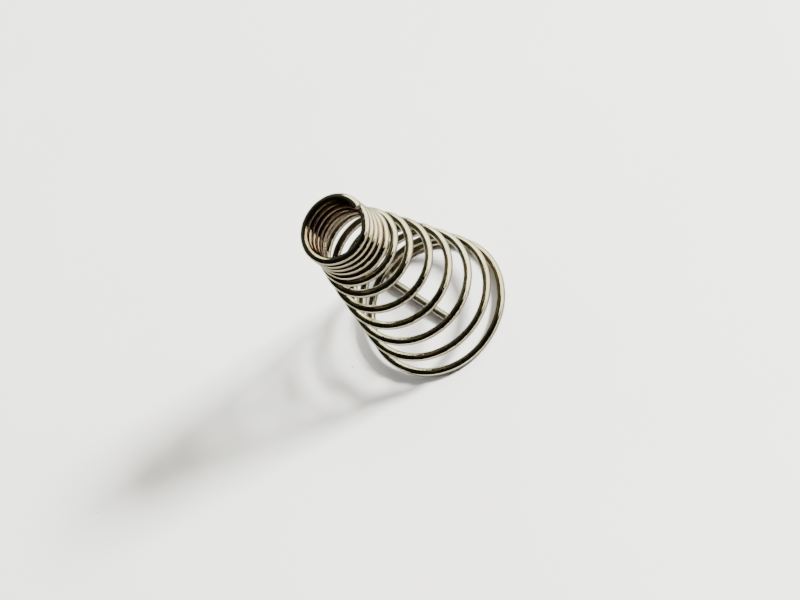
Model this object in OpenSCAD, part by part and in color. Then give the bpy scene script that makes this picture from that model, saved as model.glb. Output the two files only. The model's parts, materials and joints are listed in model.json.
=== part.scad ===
// Conical spring with a closed neck, coiled from one length of round wire.
// It stands on its widest turn, whose end is bent in as a straight leg to the centre.
// The coil climbs left-handed. Every sub-part is one stretch of the same wire, cut square
// across it where the wire runs level with an axis, so each stretch can twist on the next.

/* [Wire] */
// Diameter of the round spring wire
wire_d = 1.2; // [0.8:0.1:1.5]
// Gap between the closed turns of the neck
neck_gap = 0.04; // [0.02:0.01:0.2]

/* [Base] */
// Outer diameter of the turn that the spring stands on
base_od = 21.6; // [17:0.1:27]
// Middle radius of the bend from the base turn into the leg
leg_bend_r = 1; // [0.8:0.1:2]
// How far the leg's tip reaches past the middle of the base
leg_past = 2.8; // [0:0.1:4]
// How far the leg leans from square, in degrees
leg_lean = 2.5; // [0:0.5:6]

/* [Cone] */
// Rise of the open coil in one turn
open_pitch = 4.4; // [3.4:0.1:5.6]

/* [Neck] */
// Outer diameter of the closed neck
neck_od = 10.4; // [8:0.1:12.6]

/* [Hidden] */

// Places along the wire are counted in turns from the front of the base turn.
// The base turn starts half a turn before that, and each list is in order up the coil.
START = -0.5;
NECK_FOOT = 6.5;
COIL_CUTS = [0, 0.5, 0.75, 1, 1.5, 2, 2.25, 2.5, 3, 3.5, 3.75, 4, 4.5, 5, 5.25, 5.5, 6, NECK_FOOT];
NECK_CUTS = [NECK_FOOT, 7, 8, 9, 10, 11, 11.8];

// The pitch grows from nothing over LIFT and falls to the neck's pitch over CLOSE.
LIFT = [-0.03, 0.2];
CLOSE = [4.6, 6.6];
// The radius starts to shrink over LEAVE and stops shrinking over SETTLE.
LEAVE = [0.15, 0.35];
SETTLE = [4.8, 8.8];

RINGS_PER_TURN = 36;
SIDES = 14;
ROUND_FN = 64;

wire_r = wire_d / 2;
base_r = base_od / 2 - wire_r;
neck_r = neck_od / 2 - wire_r;
neck_pitch = wire_d + neck_gap;
shrink = (base_r - neck_r) / (middle(SETTLE) - middle(LEAVE));
leg_length = base_r - leg_bend_r + leg_past;

function coil_name(i) = str("coil_", i < 10 ? "0" : "", i);
function middle(span) = (span[0] + span[1]) / 2;

// Rises from 0 with a slope that grows evenly from 0 to 1 across the span.
function ramp(t, span) =
    t < span[0] ? 0 :
    t < span[1] ? pow(t - span[0], 2) / (2 * (span[1] - span[0])) :
    t - middle(span);

// Radius, height and angle of the wire's middle line at a place along the coil.
function coil_r(t) = base_r - shrink * (ramp(t, LEAVE) - ramp(t, SETTLE));
function coil_z(t) =
    wire_r + open_pitch * (ramp(t, LIFT) - ramp(t, CLOSE)) + neck_pitch * ramp(t, CLOSE);
function coil_angle(t) = -90 - 360 * t;

// One corner of the wire's outline, which stands in the upright plane through the axis.
function wire_corner(t, side) =
    let (turn = -90 + 360 * side / SIDES, r = coil_r(t) + wire_r * cos(turn))
    [r * cos(coil_angle(t)), r * sin(coil_angle(t)), coil_z(t) + wire_r * sin(turn)];

// The wire from one place along the coil to another, with a flat face at each end.
module wire_stretch(from, to) {
    steps = ceil((to - from) * RINGS_PER_TURN);
    last = steps * SIDES;
    corners = [
        for (k = [0 : steps], s = [0 : SIDES - 1])
            wire_corner(from + (to - from) * k / steps, s)
    ];
    walls = [
        for (k = [0 : steps - 1], s = [0 : SIDES - 1])
            let (a = k * SIDES + s, b = k * SIDES + (s + 1) % SIDES)
            each [[a, a + SIDES, b], [b, a + SIDES, b + SIDES]]
    ];
    first_face = [for (s = [0 : SIDES - 1]) s];
    last_face = [for (s = [SIDES - 1 : -1 : 0]) last + s];
    color("silver") polyhedron(points = corners, faces = concat([first_face, last_face], walls));
}

// The straight leg in the base plane, and the bend that carries it into the base turn.
module base_leg() {
    color("silver")
    translate([0, base_r - leg_bend_r, wire_r]) {
        rotate([0, 0, 90]) rotate_extrude(angle = 90 + leg_lean, $fn = ROUND_FN)
            translate([leg_bend_r, 0]) circle(r = wire_r, $fn = ROUND_FN);
        rotate([0, 0, leg_lean]) translate([-leg_bend_r, 0, 0])
            rotate([90, 0, 0]) cylinder(r = wire_r, h = leg_length, $fn = ROUND_FN);
    }
}

// The half turn that lies flat on the ground.
module base_turn() {
    wire_stretch(START, COIL_CUTS[0]);
}

// One stretch of the open coil, counted from 1 at the base.
module coil_part(i) {
    wire_stretch(COIL_CUTS[i - 1], COIL_CUTS[i]);
}

// One stretch of the neck: 0 is the shoulder, then the closed turns, then the cut end.
module neck_part(i) {
    wire_stretch(NECK_CUTS[i], NECK_CUTS[i + 1]);
}

base_leg();
base_turn();
for (i = [1 : len(COIL_CUTS) - 1])
    coil_part(i);
neck_part(0);  // neck_shoulder
for (i = [1 : 4])
    neck_part(i);
neck_part(5);  // neck_end
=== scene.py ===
"""Looks of a bottle-shaped coil spring: nickel-plated round wire, standing on pale paper.

Every stretch of the wire is made by one Geometry Nodes tree that follows the coil's rule, so the
stretches meet ring on ring. Each one stands for its CAD node and rides on that node's body.
"""
import json
import logging
import math
from dataclasses import dataclass, field
from enum import Enum

import bmesh
import bpy
import numpy as np
from mathutils import Matrix, Vector


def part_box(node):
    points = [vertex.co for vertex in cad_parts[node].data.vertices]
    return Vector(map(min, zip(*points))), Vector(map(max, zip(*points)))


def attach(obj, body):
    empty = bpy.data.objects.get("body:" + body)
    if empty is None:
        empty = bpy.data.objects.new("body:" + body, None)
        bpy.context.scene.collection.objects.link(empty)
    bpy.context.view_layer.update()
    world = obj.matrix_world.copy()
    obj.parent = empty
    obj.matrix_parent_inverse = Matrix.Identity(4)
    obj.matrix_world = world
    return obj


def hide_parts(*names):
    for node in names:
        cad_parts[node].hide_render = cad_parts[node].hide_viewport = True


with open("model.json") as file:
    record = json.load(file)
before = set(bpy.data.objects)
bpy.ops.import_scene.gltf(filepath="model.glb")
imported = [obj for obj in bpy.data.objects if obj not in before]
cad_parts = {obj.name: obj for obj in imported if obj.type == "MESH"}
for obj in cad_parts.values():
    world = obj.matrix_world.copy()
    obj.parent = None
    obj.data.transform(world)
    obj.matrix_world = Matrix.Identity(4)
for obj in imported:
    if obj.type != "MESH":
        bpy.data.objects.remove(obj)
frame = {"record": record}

log = logging.getLogger("coil_spring")

MM = 0.001
TAU = 2 * math.pi


# ---------------------------------------------------------------------------------------------
# Small helpers for node trees
# ---------------------------------------------------------------------------------------------


class Ends(Enum):
    """Whether a stretch ends in the wire's own cut end."""

    NONE = "none"
    LAST = "last"


class Wiring:
    """Adds nodes to one tree and joins them, so that a formula reads as a formula."""

    def __init__(self, tree: bpy.types.NodeTree) -> None:
        """Keeps the tree.

        Args:
            tree: The node tree that every later call adds to.
        """
        self.tree = tree

    def node(self, kind: str, **settings: object) -> bpy.types.Node:
        """Adds a node.

        Args:
            kind: The node's type name.
            settings: Properties to set on it, such as operation.

        Returns:
            The new node.
        """
        made = self.tree.nodes.new(kind)
        for name, value in settings.items():
            setattr(made, name, value)
        return made

    def feed(self, socket: bpy.types.NodeSocket, value: object) -> None:
        """Links a socket to an output, or sets its value.

        Args:
            socket: The input.
            value: An output socket, a number, a colour or a vector.
        """
        if isinstance(value, bpy.types.NodeSocket):
            self.tree.links.new(value, socket)
        else:
            socket.default_value = value

    def math(self, operation: str, *values: object, clamp: bool = False) -> bpy.types.NodeSocket:
        """One math step.

        Args:
            operation: Such as ADD or COSINE.
            values: The step's inputs, in order.
            clamp: Whether the result is held between 0 and 1.

        Returns:
            The result.
        """
        kind = "ShaderNodeMath"
        made = self.node(kind, operation=operation, use_clamp=clamp)
        for socket, value in zip(made.inputs, values):
            self.feed(socket, value)
        return made.outputs[0]

    def combine(self, x: object, y: object, z: object) -> bpy.types.NodeSocket:
        """A vector from three numbers.

        Args:
            x: First part.
            y: Second part.
            z: Third part.

        Returns:
            The vector.
        """
        made = self.node("ShaderNodeCombineXYZ")
        for socket, value in zip(made.inputs, (x, y, z)):
            self.feed(socket, value)
        return made.outputs[0]

    def group(self, tree: bpy.types.NodeTree, **values: object) -> bpy.types.Node:
        """Places a node group.

        Args:
            tree: The group.
            values: Its inputs by name, with _ for each space.

        Returns:
            The group's node.
        """
        kind = "GeometryNodeGroup" if tree.bl_idname == "GeometryNodeTree" else "ShaderNodeGroup"
        made = self.node(kind, node_tree=tree)
        for name, value in values.items():
            self.feed(made.inputs[name.replace("_", " ")], value)
        return made


def new_group(name: str, kind: str, inputs: dict[str, object], outputs: dict[str, str]) -> tuple:
    """Starts a node group with named sockets.

    Args:
        name: The group's name.
        kind: GeometryNodeTree or ShaderNodeTree.
        inputs: Each input's name and default; a type name stands for an input with no default.
        outputs: Each output's name and socket type.

    Returns:
        The wiring, the group's input node and its output node.
    """
    tree = bpy.data.node_groups.new(name, kind)
    types = {float: "NodeSocketFloat", int: "NodeSocketInt", tuple: "NodeSocketColor"}
    for title, default in inputs.items():
        if isinstance(default, str):
            tree.interface.new_socket(title, in_out="INPUT", socket_type=default)
            continue
        made = tree.interface.new_socket(title, in_out="INPUT", socket_type=types[type(default)])
        made.default_value = default
    for title, socket_type in outputs.items():
        tree.interface.new_socket(title, in_out="OUTPUT", socket_type=socket_type)
    wiring = Wiring(tree)
    return wiring, wiring.node("NodeGroupInput"), wiring.node("NodeGroupOutput")


# ---------------------------------------------------------------------------------------------
# The coil's rule
# ---------------------------------------------------------------------------------------------


@dataclass(frozen=True)
class CoilRule:
    """The line that the wire follows; places along it are turns from the front of the base turn."""

    wire_r: float
    base_r: float
    neck_r: float
    open_pitch: float = 4.4 * MM
    neck_gap: float = 0.04 * MM
    lift: tuple[float, float] = (-0.03, 0.2)
    close: tuple[float, float] = (4.6, 6.6)
    leave: tuple[float, float] = (0.15, 0.35)
    settle: tuple[float, float] = (4.8, 8.8)

    @classmethod
    def from_frame(cls) -> "CoilRule":
        """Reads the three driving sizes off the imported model.

        Returns:
            The rule.
        """
        leg_low, leg_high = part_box("base_leg")
        turn_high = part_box("base_turn")[1]
        neck_low, neck_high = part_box("neck_turn_4")
        wire_r = (leg_high[2] - leg_low[2]) / 2
        neck_r = (neck_high[0] - neck_low[0]) / 2 - wire_r
        return cls(wire_r=wire_r, base_r=turn_high[0] - wire_r, neck_r=neck_r)

    @property
    def neck_pitch(self) -> float:
        """Rise of the closed neck in one turn."""
        return 2 * self.wire_r + self.neck_gap

    @property
    def shrink(self) -> float:
        """How much the radius of the open cone shrinks in one turn."""
        span = sum(self.settle) / 2 - sum(self.leave) / 2
        return (self.base_r - self.neck_r) / span

    @staticmethod
    def ramp(turn: np.ndarray, span: tuple[float, float]) -> np.ndarray:
        """Rises from 0 with a slope that grows evenly from 0 to 1 across a span.

        Args:
            turn: Places along the coil.
            span: Where the slope starts and stops growing.

        Returns:
            The ramp's height at each place.
        """
        low, high = span
        inside = np.clip(turn - low, 0, high - low)
        return inside**2 / (2 * (high - low)) + np.maximum(turn - high, 0)

    def radius(self, turn: np.ndarray) -> np.ndarray:
        """Distance of the wire's middle line from the axis, at each place."""
        return self.base_r - self.shrink * (self.ramp(turn, self.leave) - self.ramp(turn, self.settle))

    def height(self, turn: np.ndarray) -> np.ndarray:
        """Height of the wire's middle line, at each place."""
        opened = self.ramp(turn, self.lift) - self.ramp(turn, self.close)
        return self.wire_r + self.open_pitch * opened + self.neck_pitch * self.ramp(turn, self.close)

    def surface(self, turn: np.ndarray, around: np.ndarray) -> np.ndarray:
        """Points on the wire's surface.

        Args:
            turn: Places along the coil.
            around: Angles round the wire, from the outside of the coil upwards.

        Returns:
            One point a row.
        """
        angle = -TAU * (turn + 0.25)
        out = self.radius(turn) + self.wire_r * np.cos(around)
        up = self.height(turn) + self.wire_r * np.sin(around)
        return np.stack([out * np.cos(angle), out * np.sin(angle), up], axis=1)

    def way(self, turn: float) -> np.ndarray:
        """The level direction in which the coil climbs at one place, square to the cut plane there."""
        angle = -TAU * (turn + 0.25)
        return np.array([math.sin(angle), -math.cos(angle), 0.0])

    def side(self, turn: float) -> np.ndarray:
        """The level direction away from the axis at one place."""
        angle = -TAU * (turn + 0.25)
        return np.array([math.cos(angle), math.sin(angle), 0.0])

    def normals(self, turn: np.ndarray, around: np.ndarray) -> np.ndarray:
        """Outward directions of the wire's surface, from its two slopes.

        Args:
            turn: Places along the coil.
            around: Angles round the wire.

        Returns:
            One unit vector a row.
        """
        step = 1e-4
        along = self.surface(turn + step, around) - self.surface(turn - step, around)
        across = self.surface(turn, around + step) - self.surface(turn, around - step)
        found = np.cross(along, across)
        found /= np.linalg.norm(found, axis=1)[:, None]
        middle = self.surface(turn, around) - self.surface(turn, around + math.pi)
        facing = np.sign((found * middle).sum(axis=1))
        return found * facing[:, None]


def ramp_group() -> bpy.types.NodeTree:
    """The ramp of the coil's rule as a node group.

    Returns:
        The group.
    """
    wiring, given, result = new_group(
        "Slope Ramp",
        "GeometryNodeTree",
        {"Turn": 0.0, "Start": 0.0, "Stop": 1.0},
        {"Height": "NodeSocketFloat"},
    )
    turn, start, stop = (given.outputs[name] for name in ("Turn", "Start", "Stop"))
    width = wiring.math("SUBTRACT", stop, start)
    past = wiring.math("MAXIMUM", wiring.math("SUBTRACT", turn, start), 0.0)
    inside = wiring.math("MINIMUM", past, width)
    squared = wiring.math("MULTIPLY", inside, inside)
    curved = wiring.math("DIVIDE", squared, wiring.math("MULTIPLY", width, 2.0))
    straight = wiring.math("MAXIMUM", wiring.math("SUBTRACT", turn, stop), 0.0)
    wiring.feed(result.inputs["Height"], wiring.math("ADD", curved, straight))
    return wiring.tree


def coil_stretch_group(rule: CoilRule) -> bpy.types.NodeTree:
    """The tree that sweeps round wire along one stretch of the coil.

    Args:
        rule: The coil's sizes, which become the tree's defaults.

    Returns:
        The Geometry Nodes tree.
    """
    spans = {"Lift": rule.lift, "Close": rule.close, "Leave": rule.leave, "Settle": rule.settle}
    inputs: dict[str, object] = {
        "From Turn": 0.0,
        "To Turn": 1.0,
        "Rings": 48,
        "Sides": 32,
        "Wire Radius": rule.wire_r,
        "Base Radius": rule.base_r,
        "Shrink": rule.shrink,
        "Open Pitch": rule.open_pitch,
        "Neck Pitch": rule.neck_pitch,
    }
    for name, (start, stop) in spans.items():
        inputs[f"{name} Start"] = start
        inputs[f"{name} Stop"] = stop
    inputs["Finish"] = "NodeSocketMaterial"
    wiring, given, result = new_group(
        "Coil Stretch", "GeometryNodeTree", inputs, {"Wire": "NodeSocketGeometry"}
    )
    ramp = ramp_group()

    tube = wiring.node("GeometryNodeMeshCylinder", fill_type="NGON")
    wiring.feed(tube.inputs["Vertices"], given.outputs["Sides"])
    wiring.feed(tube.inputs["Side Segments"], given.outputs["Rings"])
    wiring.feed(tube.inputs["Radius"], 1.0)
    wiring.feed(tube.inputs["Depth"], 1.0)

    place = wiring.node("ShaderNodeSeparateXYZ")
    wiring.feed(place.inputs[0], wiring.node("GeometryNodeInputPosition").outputs[0])
    share = wiring.math("ADD", place.outputs["Z"], 0.5)
    length = wiring.math("SUBTRACT", given.outputs["To Turn"], given.outputs["From Turn"])
    turn = wiring.math("MULTIPLY_ADD", share, length, given.outputs["From Turn"])
    around = wiring.math("ARCTAN2", place.outputs["Y"], place.outputs["X"])

    rises = {
        name: wiring.group(
            ramp, Turn=turn, Start=given.outputs[f"{name} Start"], Stop=given.outputs[f"{name} Stop"]
        ).outputs[0]
        for name in spans
    }
    shrunk = wiring.math("SUBTRACT", rises["Leave"], rises["Settle"])
    narrowing = wiring.math("MULTIPLY", shrunk, given.outputs["Shrink"])
    radius = wiring.math("SUBTRACT", given.outputs["Base Radius"], narrowing)
    opened = wiring.math("SUBTRACT", rises["Lift"], rises["Close"])
    climb = wiring.math("MULTIPLY_ADD", opened, given.outputs["Open Pitch"], given.outputs["Wire Radius"])
    height = wiring.math("MULTIPLY_ADD", rises["Close"], given.outputs["Neck Pitch"], climb)

    reach = wiring.math("MULTIPLY_ADD", wiring.math("COSINE", around), given.outputs["Wire Radius"], radius)
    lift = wiring.math("MULTIPLY_ADD", wiring.math("SINE", around), given.outputs["Wire Radius"], height)
    angle = wiring.math("MULTIPLY", wiring.math("ADD", turn, 0.25), -TAU)
    spot = wiring.combine(
        wiring.math("MULTIPLY", reach, wiring.math("COSINE", angle)),
        wiring.math("MULTIPLY", reach, wiring.math("SINE", angle)),
        lift,
    )

    keep_turn = wiring.node("GeometryNodeStoreNamedAttribute", data_type="FLOAT", domain="POINT")
    wiring.feed(keep_turn.inputs["Geometry"], tube.outputs["Mesh"])
    wiring.feed(keep_turn.inputs["Name"], "turn")
    wiring.feed(keep_turn.inputs["Value"], turn)
    keep_around = wiring.node("GeometryNodeStoreNamedAttribute", data_type="FLOAT", domain="POINT")
    wiring.feed(keep_around.inputs["Geometry"], keep_turn.outputs[0])
    wiring.feed(keep_around.inputs["Name"], "around")
    wiring.feed(keep_around.inputs["Value"], around)

    bend = wiring.node("GeometryNodeSetPosition")
    wiring.feed(bend.inputs["Geometry"], keep_around.outputs[0])
    wiring.feed(bend.inputs["Position"], spot)
    realize = wiring.node("GeometryNodeRealizeInstances")
    wiring.feed(realize.inputs[0], bend.outputs[0])
    dress = wiring.node("GeometryNodeSetMaterial")
    wiring.feed(dress.inputs["Geometry"], realize.outputs[0])
    wiring.feed(dress.inputs["Material"], given.outputs["Finish"])
    wiring.feed(result.inputs["Wire"], dress.outputs[0])
    return wiring.tree


def evaluate_tree(tree: bpy.types.NodeTree, values: dict[str, object]) -> bpy.types.Mesh:
    """Runs a Geometry Nodes tree once and keeps what it makes.

    Args:
        tree: The tree.
        values: Its inputs by name.

    Returns:
        A plain mesh with no modifier.
    """
    holder = bpy.data.objects.new("holder", bpy.data.meshes.new("holder"))
    bpy.context.scene.collection.objects.link(holder)
    modifier = holder.modifiers.new("nodes", "NODES")
    modifier.node_group = tree
    for item in tree.interface.items_tree:
        if item.item_type == "SOCKET" and item.in_out == "INPUT" and item.name in values:
            modifier[item.identifier] = values[item.name]
    bpy.context.view_layer.update()
    evaluated = holder.evaluated_get(bpy.context.evaluated_depsgraph_get())
    mesh = bpy.data.meshes.new_from_object(evaluated)
    holder.modifiers.remove(modifier)
    bpy.data.objects.remove(holder)
    return mesh


# ---------------------------------------------------------------------------------------------
# Finishes
# ---------------------------------------------------------------------------------------------


def draw_lines_group() -> bpy.types.NodeTree:
    """Fine lengthwise lines that the drawing die leaves, read from the wire's own grain vector.

    Returns:
        The group, with the lines' height and a mask of the deeper ones.
    """
    wiring, given, result = new_group(
        "Draw Lines",
        "ShaderNodeTree",
        {"Lines": 9.0, "Stretch": 0.35, "Seed": 0.0},
        {"Height": "NodeSocketFloat", "Mask": "NodeSocketFloat"},
    )
    grain = wiring.node("ShaderNodeAttribute", attribute_name="grain")
    parts = wiring.node("ShaderNodeSeparateXYZ")
    wiring.feed(parts.inputs[0], grain.outputs["Vector"])
    spot = wiring.combine(
        wiring.math("MULTIPLY", parts.outputs["X"], given.outputs["Lines"]),
        wiring.math("MULTIPLY", parts.outputs["Y"], given.outputs["Lines"]),
        wiring.math("MULTIPLY", parts.outputs["Z"], given.outputs["Stretch"]),
    )
    fine = wiring.node("ShaderNodeTexNoise", noise_dimensions="4D")
    wiring.feed(fine.inputs["Vector"], spot)
    wiring.feed(fine.inputs["W"], given.outputs["Seed"])
    wiring.feed(fine.inputs["Scale"], 1.0)
    wiring.feed(fine.inputs["Detail"], 4.0)
    wiring.feed(fine.inputs["Roughness"], 0.62)
    scratch = wiring.math("SUBTRACT", fine.outputs[0], 0.58)
    mask = wiring.math("MULTIPLY", scratch, 9.0, clamp=True)
    wiring.feed(result.inputs["Height"], fine.outputs[0])
    wiring.feed(result.inputs["Mask"], mask)
    return wiring.tree


def specks_group() -> bpy.types.NodeTree:
    """Scattered pinhead spots, as tarnish on plating or pits in a torn face.

    Returns:
        The group, with a mask of the spots.
    """
    wiring, given, result = new_group(
        "Specks",
        "ShaderNodeTree",
        {"Scale": 900.0, "Amount": 0.12, "Softness": 0.25},
        {"Mask": "NodeSocketFloat"},
    )
    place = wiring.node("ShaderNodeTexCoord")
    cells = wiring.node("ShaderNodeTexVoronoi", feature="F1")
    wiring.feed(cells.inputs["Vector"], place.outputs["Object"])
    wiring.feed(cells.inputs["Scale"], given.outputs["Scale"])
    chosen = wiring.node("ShaderNodeSeparateColor")
    wiring.feed(chosen.inputs[0], cells.outputs["Color"])
    size = wiring.math("MULTIPLY", wiring.math("SUBTRACT", given.outputs["Amount"], chosen.outputs[0]), 3.0)
    inside = wiring.math("SUBTRACT", size, cells.outputs["Distance"])
    mask = wiring.math("DIVIDE", inside, given.outputs["Softness"], clamp=True)
    wiring.feed(result.inputs["Mask"], mask)
    return wiring.tree


def tone_group() -> bpy.types.NodeTree:
    """Slow drift between two tones over a surface.

    Returns:
        The group, with the tone and its mask.
    """
    wiring, given, result = new_group(
        "Tone Drift",
        "ShaderNodeTree",
        {"Scale": 120.0, "First": (0.7, 0.7, 0.7, 1.0), "Second": (0.6, 0.6, 0.6, 1.0)},
        {"Color": "NodeSocketColor", "Mask": "NodeSocketFloat"},
    )
    place = wiring.node("ShaderNodeTexCoord")
    drift = wiring.node("ShaderNodeTexNoise")
    wiring.feed(drift.inputs["Vector"], place.outputs["Object"])
    wiring.feed(drift.inputs["Scale"], given.outputs["Scale"])
    wiring.feed(drift.inputs["Detail"], 3.0)
    spread = wiring.node("ShaderNodeMapRange")
    wiring.feed(spread.inputs["Value"], drift.outputs[0])
    wiring.feed(spread.inputs["From Min"], 0.35)
    wiring.feed(spread.inputs["From Max"], 0.65)
    blend = wiring.node("ShaderNodeMix", data_type="RGBA")
    wiring.feed(blend.inputs["Factor"], spread.outputs[0])
    wiring.feed(blend.inputs[6], given.outputs["First"])
    wiring.feed(blend.inputs[7], given.outputs["Second"])
    wiring.feed(result.inputs["Color"], blend.outputs[2])
    wiring.feed(result.inputs["Mask"], spread.outputs[0])
    return wiring.tree


def crevice_group() -> bpy.types.NodeTree:
    """Where closed turns lie against each other, and plating stays thin and browns.

    Returns:
        The group, with a mask of the crevices.
    """
    wiring, given, result = new_group(
        "Crevice",
        "ShaderNodeTree",
        {"Edge": 0.66, "First Turn": 6.1, "Last Turn": 10.7, "Ripple": 0.5},
        {"Mask": "NodeSocketFloat"},
    )
    grain = wiring.node("ShaderNodeAttribute", attribute_name="grain")
    parts = wiring.node("ShaderNodeSeparateXYZ")
    wiring.feed(parts.inputs[0], grain.outputs["Vector"])
    turn = wiring.node("ShaderNodeAttribute", attribute_name="turn").outputs["Fac"]
    place = wiring.node("ShaderNodeTexCoord")
    patches = wiring.node("ShaderNodeTexNoise")
    wiring.feed(patches.inputs["Vector"], place.outputs["Object"])
    wiring.feed(patches.inputs["Scale"], 420.0)
    wiring.feed(patches.inputs["Detail"], 4.0)
    side = wiring.math("ABSOLUTE", parts.outputs["Y"])
    uneven = wiring.math("SUBTRACT", patches.outputs[0], 0.5)
    wobble = wiring.math("MULTIPLY", uneven, given.outputs["Ripple"])
    depth = wiring.math("SUBTRACT", wiring.math("ADD", side, wobble), given.outputs["Edge"])
    near = wiring.math("MULTIPLY", depth, 5.0, clamp=True)
    into = wiring.math("SUBTRACT", turn, given.outputs["First Turn"])
    closed = wiring.math("MULTIPLY", into, 2.0, clamp=True)
    left = wiring.math("SUBTRACT", given.outputs["Last Turn"], turn)
    topped = wiring.math("MULTIPLY", left, 4.0, clamp=True)
    between = wiring.math("MULTIPLY", closed, topped)
    wiring.feed(result.inputs["Mask"], wiring.math("MULTIPLY", near, between))
    return wiring.tree


def shaded_side_group() -> bpy.types.NodeTree:
    """The wire's sides that face down or to the axis, darkened with painted shade.

    Returns:
        The group, with a painted-shade mask for the underside and one for the neck's bore.
    """
    wiring, given, result = new_group(
        "Shaded Side",
        "ShaderNodeTree",
        {"Full": 0.16, "None": 0.52, "Ripple": 0.16, "Bore First Turn": 6.6},
        {"Under Shade": "NodeSocketFloat", "Bore Shade": "NodeSocketFloat"},
    )
    place = wiring.node("ShaderNodeTexCoord")
    facing = wiring.node("ShaderNodeSeparateXYZ")
    wiring.feed(facing.inputs[0], place.outputs["Normal"])
    patches = wiring.node("ShaderNodeTexNoise")
    wiring.feed(patches.inputs["Vector"], place.outputs["Object"])
    wiring.feed(patches.inputs["Scale"], 300.0)
    wiring.feed(patches.inputs["Detail"], 4.0)
    uneven = wiring.math("SUBTRACT", patches.outputs[0], 0.5)
    wobble = wiring.math("MULTIPLY", uneven, given.outputs["Ripple"])
    # painted shade: darkens the wire's downward-facing side
    painted_under_shade = wiring.node("ShaderNodeMapRange", interpolation_type="SMOOTHSTEP")
    wiring.feed(painted_under_shade.inputs["Value"], wiring.math("ADD", facing.outputs["Z"], wobble))
    wiring.feed(painted_under_shade.inputs["From Min"], given.outputs["None"])
    wiring.feed(painted_under_shade.inputs["From Max"], given.outputs["Full"])
    wiring.feed(result.inputs["Under Shade"], painted_under_shade.outputs[0])
    grain = wiring.node("ShaderNodeAttribute", attribute_name="grain")
    parts = wiring.node("ShaderNodeSeparateXYZ")
    wiring.feed(parts.inputs[0], grain.outputs["Vector"])
    turn = wiring.node("ShaderNodeAttribute", attribute_name="turn").outputs["Fac"]
    # painted shade: browns the inward-facing side of the neck turns
    inner = wiring.node("ShaderNodeMapRange", interpolation_type="SMOOTHSTEP")
    wiring.feed(inner.inputs["Value"], wiring.math("ADD", parts.outputs["X"], wobble))
    wiring.feed(inner.inputs["From Min"], -0.2)
    wiring.feed(inner.inputs["From Max"], -0.75)
    past = wiring.math("SUBTRACT", turn, given.outputs["Bore First Turn"])
    reach = wiring.math("MULTIPLY", past, 1.0, clamp=True)
    wiring.feed(result.inputs["Bore Shade"], wiring.math("MULTIPLY", inner.outputs[0], reach))
    return wiring.tree


@dataclass
class Effects:
    """The node groups that the finishes share, each built once."""

    lines: bpy.types.NodeTree = field(default_factory=draw_lines_group)
    specks: bpy.types.NodeTree = field(default_factory=specks_group)
    tone: bpy.types.NodeTree = field(default_factory=tone_group)
    crevice: bpy.types.NodeTree = field(default_factory=crevice_group)
    shaded: bpy.types.NodeTree = field(default_factory=shaded_side_group)


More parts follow.
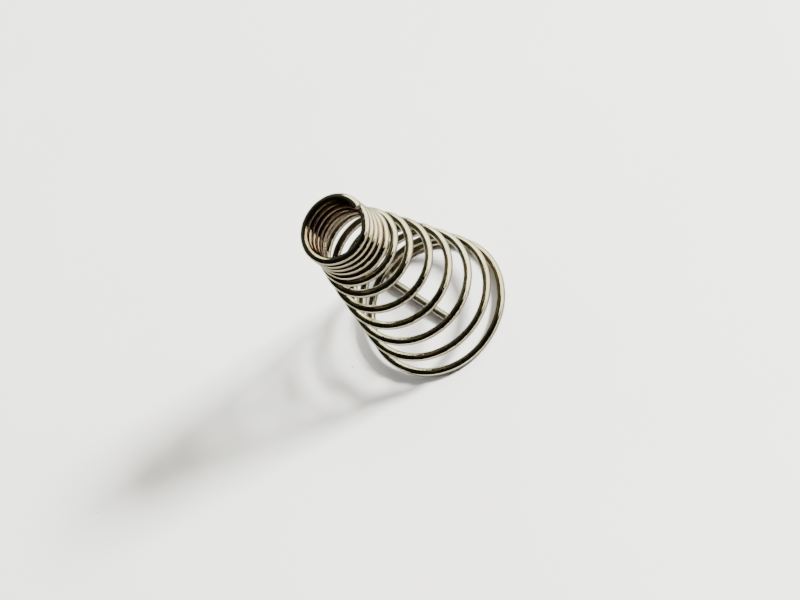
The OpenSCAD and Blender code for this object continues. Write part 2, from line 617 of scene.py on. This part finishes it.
@dataclass(frozen=True)
class NickelPlate:
    """Bright nickel on drawn wire: draw lines, tarnish spots, browned crevices, painted shade in the bore
    and on the underside, and a dark edge tint that paints shade.
    """

    name: str = "nickel_plate"
    bright: tuple = (0.47, 0.465, 0.32, 1.0)
    warm: tuple = (0.38, 0.345, 0.22, 1.0)
    tarnish: tuple = (0.17, 0.11, 0.07, 1.0)
    copper: tuple = (0.22, 0.10, 0.05, 1.0)
    # painted shade on the wire's underside
    painted_under_shade: tuple = (0.11, 0.085, 0.07, 1.0)
    # painted shade in the neck's bore
    painted_bore_shade: tuple = (0.22, 0.135, 0.08, 1.0)
    # painted shade: a dark specular tint that darkens the wire's edges at grazing angles
    painted_edge_shade: tuple = (0.25, 0.26, 0.29, 1.0)
    smooth: float = 0.08
    worn: float = 0.2
    line_depth: float = 0.4
    peel_depth: float = 0.5

    def build(self, effects: Effects) -> bpy.types.Material:
        """Makes the material.

        Args:
            effects: The shared node groups.

        Returns:
            The plated finish.
        """
        material = bpy.data.materials.new(self.name)
        material.use_nodes = True
        wiring = Wiring(material.node_tree)
        shader = material.node_tree.nodes["Principled BSDF"]
        shader.inputs["Metallic"].default_value = 1.0
        lines = wiring.group(effects.lines, Lines=7.0, Stretch=0.6)
        spots = wiring.group(effects.specks, Scale=1100.0, Amount=0.10, Softness=0.2)
        tone = wiring.group(effects.tone, Scale=160.0, First=self.bright, Second=self.warm)
        peel = wiring.group(effects.tone, Scale=2600.0)
        crevice = wiring.group(effects.crevice)
        shaded = wiring.group(effects.shaded)
        # painted shade: the dark edge tint darkens reflections along the wire's edges
        shader.inputs["Specular Tint"].default_value = self.painted_edge_shade
        spotted = wiring.node("ShaderNodeMix", data_type="RGBA")
        wiring.feed(spotted.inputs["Factor"], wiring.math("MULTIPLY", spots.outputs["Mask"], 0.75))
        wiring.feed(spotted.inputs[6], tone.outputs["Color"])
        wiring.feed(spotted.inputs[7], self.tarnish)
        browned = wiring.node("ShaderNodeMix", data_type="RGBA")
        wiring.feed(browned.inputs["Factor"], wiring.math("MULTIPLY", crevice.outputs["Mask"], 0.7))
        wiring.feed(browned.inputs[6], spotted.outputs[2])
        wiring.feed(browned.inputs[7], self.copper)
        # mixes in the painted bore shade
        bore_shaded = wiring.node("ShaderNodeMix", data_type="RGBA")
        wiring.feed(bore_shaded.inputs["Factor"], wiring.math("MULTIPLY", shaded.outputs["Bore Shade"], 0.85))
        wiring.feed(bore_shaded.inputs[6], browned.outputs[2])
        wiring.feed(bore_shaded.inputs[7], self.painted_bore_shade)
        # mixes in the painted underside shade
        under_shaded = wiring.node("ShaderNodeMix", data_type="RGBA")
        wiring.feed(under_shaded.inputs["Factor"], wiring.math("MULTIPLY", shaded.outputs["Under Shade"], 0.9))
        wiring.feed(under_shaded.inputs[6], bore_shaded.outputs[2])
        wiring.feed(under_shaded.inputs[7], self.painted_under_shade)
        wiring.feed(shader.inputs["Base Color"], under_shaded.outputs[2])
        scuffed = wiring.math("MULTIPLY_ADD", lines.outputs["Mask"], self.worn - self.smooth, self.smooth)
        roughness = wiring.math("MULTIPLY_ADD", spots.outputs["Mask"], 0.3, scuffed)
        wiring.feed(shader.inputs["Roughness"], roughness)
        drawn = wiring.node("ShaderNodeBump")
        wiring.feed(drawn.inputs["Strength"], self.line_depth)
        wiring.feed(drawn.inputs["Distance"], 0.01 * MM)
        wiring.feed(drawn.inputs["Height"], lines.outputs["Height"])
        peeled = wiring.node("ShaderNodeBump")
        wiring.feed(peeled.inputs["Strength"], self.peel_depth)
        wiring.feed(peeled.inputs["Distance"], 0.01 * MM)
        wiring.feed(peeled.inputs["Height"], peel.outputs["Mask"])
        wiring.feed(peeled.inputs["Normal"], drawn.outputs[0])
        wiring.feed(shader.inputs["Normal"], peeled.outputs[0])
        return material


@dataclass(frozen=True)
class CutSteel:
    """The bare steel of a sheared wire end: grey, torn and a little rusty."""

    steel: tuple = (0.36, 0.33, 0.30, 1.0)
    rust: tuple = (0.28, 0.17, 0.10, 1.0)

    def build(self, effects: Effects) -> bpy.types.Material:
        """Makes the material.

        Args:
            effects: The shared node groups.

        Returns:
            The cut finish.
        """
        material = bpy.data.materials.new("cut_steel")
        material.use_nodes = True
        wiring = Wiring(material.node_tree)
        shader = material.node_tree.nodes["Principled BSDF"]
        shader.inputs["Metallic"].default_value = 1.0
        tone = wiring.group(effects.tone, Scale=3000.0, First=self.steel, Second=self.rust)
        spots = wiring.group(effects.specks, Scale=6000.0, Amount=0.3, Softness=0.3)
        wiring.feed(shader.inputs["Base Color"], tone.outputs["Color"])
        wiring.feed(shader.inputs["Roughness"], wiring.math("MULTIPLY_ADD", tone.outputs["Mask"], 0.3, 0.35))
        bump = wiring.node("ShaderNodeBump")
        wiring.feed(bump.inputs["Strength"], 0.6)
        wiring.feed(bump.inputs["Distance"], 0.03 * MM)
        wiring.feed(bump.inputs["Height"], wiring.math("ADD", tone.outputs["Mask"], spots.outputs["Mask"]))
        wiring.feed(shader.inputs["Normal"], bump.outputs[0])
        return material


@dataclass(frozen=True)
class Paper:
    """The plain off-white sheet that the spring stands on."""

    light: tuple = (0.80, 0.80, 0.785, 1.0)
    shade: tuple = (0.77, 0.77, 0.765, 1.0)

    def build(self, effects: Effects) -> bpy.types.Material:
        """Makes the material.

        Args:
            effects: The shared node groups.

        Returns:
            The paper.
        """
        material = bpy.data.materials.new("paper")
        material.use_nodes = True
        wiring = Wiring(material.node_tree)
        shader = material.node_tree.nodes["Principled BSDF"]
        shader.inputs["Roughness"].default_value = 0.75
        shader.inputs["Specular IOR Level"].default_value = 0.2
        tone = wiring.group(effects.tone, Scale=25.0, First=self.light, Second=self.shade)
        wiring.feed(shader.inputs["Base Color"], tone.outputs["Color"])
        return material


# ---------------------------------------------------------------------------------------------
# The wire
# ---------------------------------------------------------------------------------------------


@dataclass
class WirePiece:
    """One stretch of wire, ready to be dressed and set riding."""

    name: str
    mesh: bpy.types.Mesh
    node: str
    body: str

    def place(self) -> bpy.types.Object:
        """Adds the stretch to the scene in its CAD node's stead.

        Returns:
            The object.
        """
        piece = bpy.data.objects.new(self.name, self.mesh)
        bpy.context.scene.collection.objects.link(piece)
        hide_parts(self.node)
        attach(piece, self.body)
        log.info("%s: %d faces, on %s", self.name, len(self.mesh.polygons), self.body)
        return piece


def body_of_node(node: str) -> str:
    """The CAD body that a node belongs to.

    Args:
        node: The node's name.

    Returns:
        The body's name.
    """
    for body, nodes in frame["record"]["behaviour"]["bodies"].items():
        if node in nodes:
            return body
    raise ValueError(f"no body holds {node}")


@dataclass
class Coil:
    """The coiled wire: base turn, open cone and closed neck, as stretches that meet ring on ring."""

    rule: CoilRule
    plate: bpy.types.Material
    cut: bpy.types.Material
    rings_per_turn: int = 120
    sides: int = 32
    start: float = -0.5
    coil_cuts: tuple = (0, 0.5, 0.75, 1, 1.5, 2, 2.25, 2.5, 3, 3.5, 3.75, 4, 4.5, 5, 5.25, 5.5, 6, 6.5)
    neck_cuts: tuple = (6.5, 7, 8, 9, 10, 11, 11.8)

    def stretches(self) -> list[tuple[str, float, float]]:
        """Each stretch's node, and where it starts and stops.

        Returns:
            The stretches in order up the coil.
        """
        found = [("base_turn", self.start, float(self.coil_cuts[0]))]
        for i, (low, high) in enumerate(zip(self.coil_cuts, self.coil_cuts[1:]), 1):
            found.append((f"coil_{i:02d}", float(low), float(high)))
        neck = ["neck_shoulder"] + [f"neck_turn_{i}" for i in range(1, 5)] + ["neck_end"]
        for name, low, high in zip(neck, self.neck_cuts, self.neck_cuts[1:]):
            found.append((name, float(low), float(high)))
        return found

    def build_mesh(self, tree: bpy.types.NodeTree, low: float, high: float, end: Ends) -> bpy.types.Mesh:
        """Sweeps one stretch.

        Args:
            tree: The coil tree.
            low: Where the stretch starts.
            high: Where it stops.
            end: Whether it holds the wire's cut end.

        Returns:
            Its mesh, with the grain vector and exact normals.
        """
        finer = 1 if end is Ends.NONE else 4
        rings = max(2, round((high - low) * self.rings_per_turn * finer))
        values = {
            "From Turn": low,
            "To Turn": high,
            "Rings": rings,
            "Sides": self.sides,
            "Finish": self.plate,
        }
        mesh = evaluate_tree(tree, values)
        turn, around = (read_floats(mesh, name) for name in ("turn", "around"))
        add_grain(mesh, turn * TAU * self.rule.base_r / self.rule.wire_r, around)
        outward = self.rule.normals(turn, around)
        if end is Ends.NONE:
            set_normals(mesh, outward)
            return mesh
        stop = np.array([high])
        middle = (self.rule.surface(stop, np.zeros(1)) + self.rule.surface(stop, np.array([math.pi])))[0] / 2
        shear = ShearedEnd(middle, -self.rule.way(high), self.rule.side(high), self.rule.wire_r)
        shear.cut(mesh, outward, self.cut)
        return mesh

    def build(self) -> list[bpy.types.Object]:
        """Makes and places every stretch.

        Returns:
            The pieces.
        """
        tree = coil_stretch_group(self.rule)
        pieces = []
        for node, low, high in self.stretches():
            end = Ends.LAST if node == "neck_end" else Ends.NONE
            mesh = self.build_mesh(tree, low, high, end)
            pieces.append(WirePiece(f"{node}_wire", mesh, node, body_of_node(node)).place())
        return pieces


def read_floats(mesh: bpy.types.Mesh, name: str) -> np.ndarray:
    """A point attribute's numbers.

    Args:
        mesh: The mesh.
        name: The attribute's name.

    Returns:
        One number for each vertex.
    """
    found = np.zeros(len(mesh.vertices), np.float32)
    mesh.attributes[name].data.foreach_get("value", found)
    return found.astype(float)


def add_grain(mesh: bpy.types.Mesh, along: np.ndarray, around: np.ndarray) -> None:
    """Stores the vector that the draw lines follow: round the wire, then along it in wire radii.

    Args:
        mesh: The wire's mesh.
        along: Distance along the wire, in wire radii.
        around: Angle round the wire.
    """
    grain = np.stack([np.cos(around), np.sin(around), along], axis=1).astype(np.float32)
    made = mesh.attributes.new("grain", "FLOAT_VECTOR", "POINT")
    made.data.foreach_set("vector", grain.ravel())


def set_normals(mesh: bpy.types.Mesh, outward: np.ndarray) -> None:
    """Gives the wire's wall exact normals, so that no seam shows, and leaves its ends flat.

    Args:
        mesh: The wire's mesh.
        outward: Each vertex's outward direction.
    """
    mesh.polygons.foreach_set("use_smooth", [True] * len(mesh.polygons))
    corners = np.zeros(len(mesh.loops), np.int32)
    mesh.loops.foreach_get("vertex_index", corners)
    normals = outward[corners]
    for face in mesh.polygons:
        if face.loop_total > 4 or face.material_index:
            normals[face.loop_start : face.loop_start + face.loop_total] = face.normal
    mesh.normals_split_custom_set(normals)


@dataclass(frozen=True)
class ShearedEnd:
    """A wire end as nippers leave it: pinched from both sides, torn across, with a small burr."""

    middle: np.ndarray
    inward: np.ndarray
    side: np.ndarray
    wire_r: float
    pinch: float = 0.34
    reach: float = 0.75
    tear: float = 0.16
    rings: int = 6

    def cut(self, mesh: bpy.types.Mesh, outward: np.ndarray, finish: bpy.types.Material) -> None:
        """Shapes the end of a stretch, and lays the torn face over it.

        Args:
            mesh: The stretch, whose end is still square.
            outward: Each vertex's outward direction before the pinch.
            finish: The torn face's material.
        """
        mesh.materials.append(finish)
        spots = np.zeros(len(mesh.vertices) * 3, np.float32)
        mesh.vertices.foreach_get("co", spots)
        spots = spots.reshape(-1, 3).astype(float)
        shaped, share = self.pinched(spots)
        mesh.vertices.foreach_set("co", shaped.astype(np.float32).ravel())
        mesh.update()
        bent = np.array([list(v.normal) for v in mesh.vertices])
        facing = outward * (1 - share[:, None]) + bent * share[:, None]
        facing /= np.linalg.norm(facing, axis=1)[:, None]
        hold = mesh.attributes.new("facing", "FLOAT_VECTOR", "POINT")
        hold.data.foreach_set("vector", facing.astype(np.float32).ravel())
        self.tear_face(mesh)
        facing = np.zeros(len(mesh.vertices) * 3, np.float32)
        mesh.attributes["facing"].data.foreach_get("vector", facing)
        mesh.attributes.remove(mesh.attributes["facing"])
        set_normals(mesh, facing.reshape(-1, 3).astype(float))

    def pinched(self, spots: np.ndarray) -> tuple[np.ndarray, np.ndarray]:
        """Presses the last part of the wire in from two sides and draws out a burr.

        Args:
            spots: The stretch's vertices.

        Returns:
            Their new places, and how far each is inside the pinched part, from 0 to 1.
        """
        off = spots - self.middle
        depth = off @ self.inward / self.wire_r
        near = np.linalg.norm(off, axis=1) < 3 * self.wire_r
        share = np.where(near, np.clip(1 - depth / self.reach, 0, 1), 0.0)
        press = self.pinch * share**2
        across = off @ self.side
        height = off[:, 2] / self.wire_r
        moved = off - np.outer(across * press, self.side)
        burr = np.clip((height - 0.55) / 0.45, 0, 1) * np.clip(share * 4 - 3, 0, 1)
        moved += np.outer(burr * 0.10 * self.wire_r, -self.inward)
        lean = np.clip(share * 4 - 3, 0, 1) * (height - 0.6) * 0.06 * self.wire_r
        moved -= np.outer(lean, self.inward)
        return self.middle + moved, np.clip(share * 3, 0, 1)

    def tear_face(self, mesh: bpy.types.Mesh) -> None:
        """Splits the end's flat face into rings, with a smooth sheared half and a torn half.

        Args:
            mesh: The stretch, already pinched.
        """
        shape = bmesh.new()
        shape.from_mesh(mesh)
        ends = [f for f in shape.faces if len(f.verts) > 4]
        face = min(ends, key=lambda f: np.linalg.norm(np.array(f.calc_center_median()) - self.middle))
        centre = face.calc_center_median()
        face.material_index = len(mesh.materials) - 1
        random = np.random.default_rng(7)
        for ring in range(1, self.rings):
            face = bmesh.ops.extrude_discrete_faces(shape, faces=[face])["faces"][0]
            scale = (self.rings - ring) / (self.rings - ring + 1)
            for vertex in face.verts:
                vertex.co = centre + (vertex.co - centre) * scale
                height = (vertex.co.z - centre.z) / self.wire_r
                rough = self.tear * (0.25 if height > 0.1 else 1.0) * random.uniform(-1, 0.25)
                vertex.co += Vector(self.inward) * float(-rough * self.wire_r * 0.5)
            centre = face.calc_center_median()
        for face in shape.faces:
            if len(face.verts) > 4:
                face.smooth = False
        bmesh.ops.recalc_face_normals(shape, faces=shape.faces)
        shape.to_mesh(mesh)
        shape.free()
        if signed_volume(mesh) < 0:
            mesh.flip_normals()


@dataclass
class BaseLeg:
    """The straight leg in the base plane, and the bend that carries it into the base turn."""

    rule: CoilRule
    plate: bpy.types.Material
    cut: bpy.types.Material
    bend_r: float = 1.0 * MM
    past: float = 2.8 * MM
    lean: float = math.radians(2.5)
    sides: int = 32
    bend_rings: int = 24
    leg_rings: int = 60
    tip_rings: int = 14

    def line(self) -> tuple[np.ndarray, np.ndarray]:
        """The leg's middle line, from its tip to the base turn.

        Returns:
            Points, and the direction at each, seen from above.
        """
        length = self.rule.base_r - self.bend_r + self.past
        centre = np.array([0, self.rule.base_r - self.bend_r])
        turn = math.pi / 2 + self.lean
        angles = math.pi / 2 + turn * (1 - np.arange(self.bend_rings + 1) / self.bend_rings)
        bend = centre + self.bend_r * np.stack([np.cos(angles), np.sin(angles)], axis=1)
        bend_way = np.stack([np.sin(angles), -np.cos(angles)], axis=1)
        way = bend_way[0]
        coarse = np.arange(self.leg_rings) / self.leg_rings
        tip = np.arange(self.tip_rings) / self.tip_rings * self.rule.wire_r / length
        steps = np.concatenate([tip, tip[-1] + coarse[1:] * (1 - tip[-1])])[:, None]
        straight = bend[0] - way * length * (1 - steps)
        ways = np.concatenate([np.repeat(way[None], len(steps), axis=0), bend_way])
        return np.concatenate([straight, bend]), ways

    def build(self) -> bpy.types.Object:
        """Makes and places the leg.

        Returns:
            The piece.
        """
        points, ways = self.line()
        mesh, outward = sweep_flat_line(points, ways, self.rule.wire_r, self.sides)
        mesh.materials.append(self.plate)
        tip = np.array([*points[0], self.rule.wire_r])
        inward = np.array([*ways[0], 0.0])
        side = np.array([ways[0][1], -ways[0][0], 0.0])
        ShearedEnd(tip, inward, side, self.rule.wire_r).cut(mesh, outward, self.cut)
        return WirePiece("base_leg_wire", mesh, "base_leg", body_of_node("base_leg")).place()


def sweep_flat_line(
    points: np.ndarray, ways: np.ndarray, wire_r: float, sides: int
) -> tuple[bpy.types.Mesh, np.ndarray]:
    """Sweeps round wire along a line that lies on the ground.

    Args:
        points: The middle line, seen from above.
        ways: The direction at each point, seen from above.
        wire_r: The wire's radius, which is also the line's height.
        sides: How many sides the wire's outline has.

    Returns:
        A closed mesh with the grain vector, and each vertex's outward direction.
    """
    count = len(points)
    around = np.tile(np.arange(sides) * TAU / sides, count)
    ring = np.repeat(np.arange(count), sides)
    across = np.stack([ways[:, 1], -ways[:, 0], np.zeros(count)], axis=1)[ring]
    up = np.array([0.0, 0.0, 1.0])
    outward = across * np.cos(around)[:, None] + up * np.sin(around)[:, None]
    middle = np.concatenate([points, np.full((count, 1), wire_r)], axis=1)[ring]
    faces = []
    for k in range(count - 1):
        for s in range(sides):
            a, b = k * sides + s, k * sides + (s + 1) % sides
            faces.append((a, b, b + sides, a + sides))
    faces.append(tuple(range(sides))[::-1])
    faces.append(tuple((count - 1) * sides + s for s in range(sides)))
    mesh = bpy.data.meshes.new("base_leg_wire")
    mesh.from_pydata((middle + outward * wire_r).tolist(), [], faces)
    if signed_volume(mesh) < 0:
        mesh.flip_normals()
    run = np.concatenate([[0], np.cumsum(np.linalg.norm(np.diff(points, axis=0), axis=1))])
    add_grain(mesh, run[ring] / wire_r, around)
    return mesh, outward


def signed_volume(mesh: bpy.types.Mesh) -> float:
    """The mesh's volume, below 0 if its faces point inwards.

    Args:
        mesh: A closed mesh.

    Returns:
        Its signed volume.
    """
    mesh.calc_loop_triangles()
    total = 0.0
    for triangle in mesh.loop_triangles:
        a, b, c = (mesh.vertices[i].co for i in triangle.vertices)
        total += a.dot(b.cross(c)) / 6
    return total


# ---------------------------------------------------------------------------------------------
# The studio
# ---------------------------------------------------------------------------------------------


@dataclass
class Studio:
    """Paper floor, a broad window-like light, two lights that reflections miss, and the camera."""

    paper: bpy.types.Material
    floor_half: float = 1.5
    camera_tilt: float = math.radians(55.3)
    camera_roll: float = math.radians(-53.8)
    camera_distance: float = 0.482
    lens: float = 150.0
    aim: tuple = (-2.47 * MM, 4.04 * MM, 3.39 * MM)
    grains: tuple = ((-14.4, 6.1, 0.11), (-54.83, 27.83, 0.1), (-11.13, -42.37, 0.09))

    def build_floor(self) -> None:
        """Lays the paper."""
        mesh = bpy.data.meshes.new("paper_floor")
        half = self.floor_half
        corners = [(-half, -half, 0), (half, -half, 0), (half, half, 0), (-half, half, 0)]
        mesh.from_pydata(corners, [], [(0, 1, 2, 3)])
        mesh.materials.append(self.paper)
        floor = bpy.data.objects.new("paper_floor", mesh)
        bpy.context.scene.collection.objects.link(floor)

    def build_dust(self) -> None:
        """Scatters the few dark grains that lie on the paper."""
        finish = bpy.data.materials.new("dust")
        finish.use_nodes = True
        shader = finish.node_tree.nodes["Principled BSDF"]
        shader.inputs["Base Color"].default_value = (0.10, 0.08, 0.08, 1.0)
        shader.inputs["Roughness"].default_value = 0.8
        for number, (x, y, size) in enumerate(self.grains, 1):
            mesh = bpy.data.meshes.new(f"dust_{number}")
            shape = bmesh.new()
            bmesh.ops.create_icosphere(shape, subdivisions=2, radius=size * MM)
            bmesh.ops.scale(shape, vec=(1.0, 0.7, 0.4), verts=shape.verts)
            bmesh.ops.translate(shape, vec=(x * MM, y * MM, size * 0.4 * MM), verts=shape.verts)
            shape.to_mesh(mesh)
            shape.free()
            mesh.materials.append(finish)
            grain = bpy.data.objects.new(f"dust_{number}", mesh)
            bpy.context.scene.collection.objects.link(grain)

    def add_light(
        self, name: str, place: tuple, size: tuple, power: float, colour: tuple, seen: bool
    ) -> None:
        """Hangs one area light that faces the spring.

        Args:
            name: The light's name.
            place: Where it hangs.
            size: Its width and height.
            power: Its power in watts.
            colour: Its colour.
            seen: Whether reflections show it.
        """
        data = bpy.data.lights.new(name, "AREA")
        data.shape = "RECTANGLE"
        data.size, data.size_y = size
        data.energy = power
        data.color = colour
        light = bpy.data.objects.new(name, data)
        way = Vector(place) - Vector((0, 0, 0.015))
        light.matrix_world = Matrix.Translation(place) @ way.to_track_quat("Z", "Y").to_matrix().to_4x4()
        light.visible_glossy = seen
        bpy.context.scene.collection.objects.link(light)

    def build_lights(self) -> None:
        """Hangs the lights and dims the room."""
        self.add_light("window", (0.83, 0.10, 0.44), (1.95, 0.98), 33.0, (1.0, 0.985, 0.80), True)
        self.add_light("key", (0.76, -0.40, 0.52), (0.16, 0.16), 66.0, (1.0, 0.99, 0.96), False)
        self.add_light("ceiling_fill", (0.1, 0.1, 1.2), (1.2, 1.2), 7.0, (0.97, 0.97, 1.0), False)
        world = bpy.data.worlds.new("room")
        world.use_nodes = True
        wiring = Wiring(world.node_tree)
        way = wiring.node("ShaderNodeTexCoord")
        facing = wiring.node("ShaderNodeVectorMath", operation="DOT_PRODUCT")
        wiring.feed(facing.inputs[0], way.outputs["Generated"])
        wiring.feed(facing.inputs[1], (0.34, 0.94, -0.05))
        lit = wiring.node("ShaderNodeMapRange", interpolation_type="SMOOTHSTEP")
        wiring.feed(lit.inputs["Value"], facing.outputs["Value"])
        wiring.feed(lit.inputs["From Min"], 0.1)
        wiring.feed(lit.inputs["From Max"], 1.0)
        wiring.feed(lit.inputs["To Min"], 0.012)
        wiring.feed(lit.inputs["To Max"], 0.16)
        back = world.node_tree.nodes["Background"]
        back.inputs["Color"].default_value = (0.98, 0.97, 0.95, 1.0)
        wiring.feed(back.inputs["Strength"], lit.outputs[0])
        bpy.context.scene.world = world

    def build_camera(self) -> None:
        """Sets the camera, tilted down and rolled, so that the spring leans across the view."""
        data = bpy.data.cameras.new("camera")
        data.lens = self.lens
        data.clip_start = 0.01
        camera = bpy.data.objects.new("camera", data)
        away = Vector((0, -math.cos(self.camera_tilt), math.sin(self.camera_tilt)))
        turn = away.to_track_quat("Z", "Y").to_matrix().to_4x4()
        roll = Matrix.Rotation(self.camera_roll, 4, "Z")
        place = Vector(self.aim) + away * self.camera_distance
        camera.matrix_world = Matrix.Translation(place) @ turn @ roll
        bpy.context.scene.collection.objects.link(camera)
        bpy.context.scene.camera = camera

    def build(self) -> None:
        """Builds the whole studio."""
        self.build_floor()
        self.build_dust()
        self.build_lights()
        self.build_camera()


def main() -> None:
    """Builds the studio and the spring."""
    logging.basicConfig(level=logging.INFO, format="%(name)s: %(message)s")
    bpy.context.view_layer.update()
    effects = Effects()
    rule = CoilRule.from_frame()
    sizes = (x / MM for x in (rule.wire_r, rule.base_r, rule.neck_r))
    log.info("wire radius %.3f mm, base %.2f mm, neck %.2f mm", *sizes)
    plate = NickelPlate().build(effects)
    # The leg's plate: a darker, rougher copy of the coil's plate.
    dull_bright = (0.42, 0.41, 0.34, 1.0)
    dull_warm = (0.34, 0.32, 0.25, 1.0)
    dull = NickelPlate("nickel_dull", dull_bright, dull_warm, smooth=0.3, worn=0.45).build(effects)
    cut = CutSteel().build(effects)
    Studio(paper=Paper().build(effects)).build()
    Coil(rule, plate, cut).build()
    BaseLeg(rule, dull, cut).build()


if __name__ == "__main__":
    main()
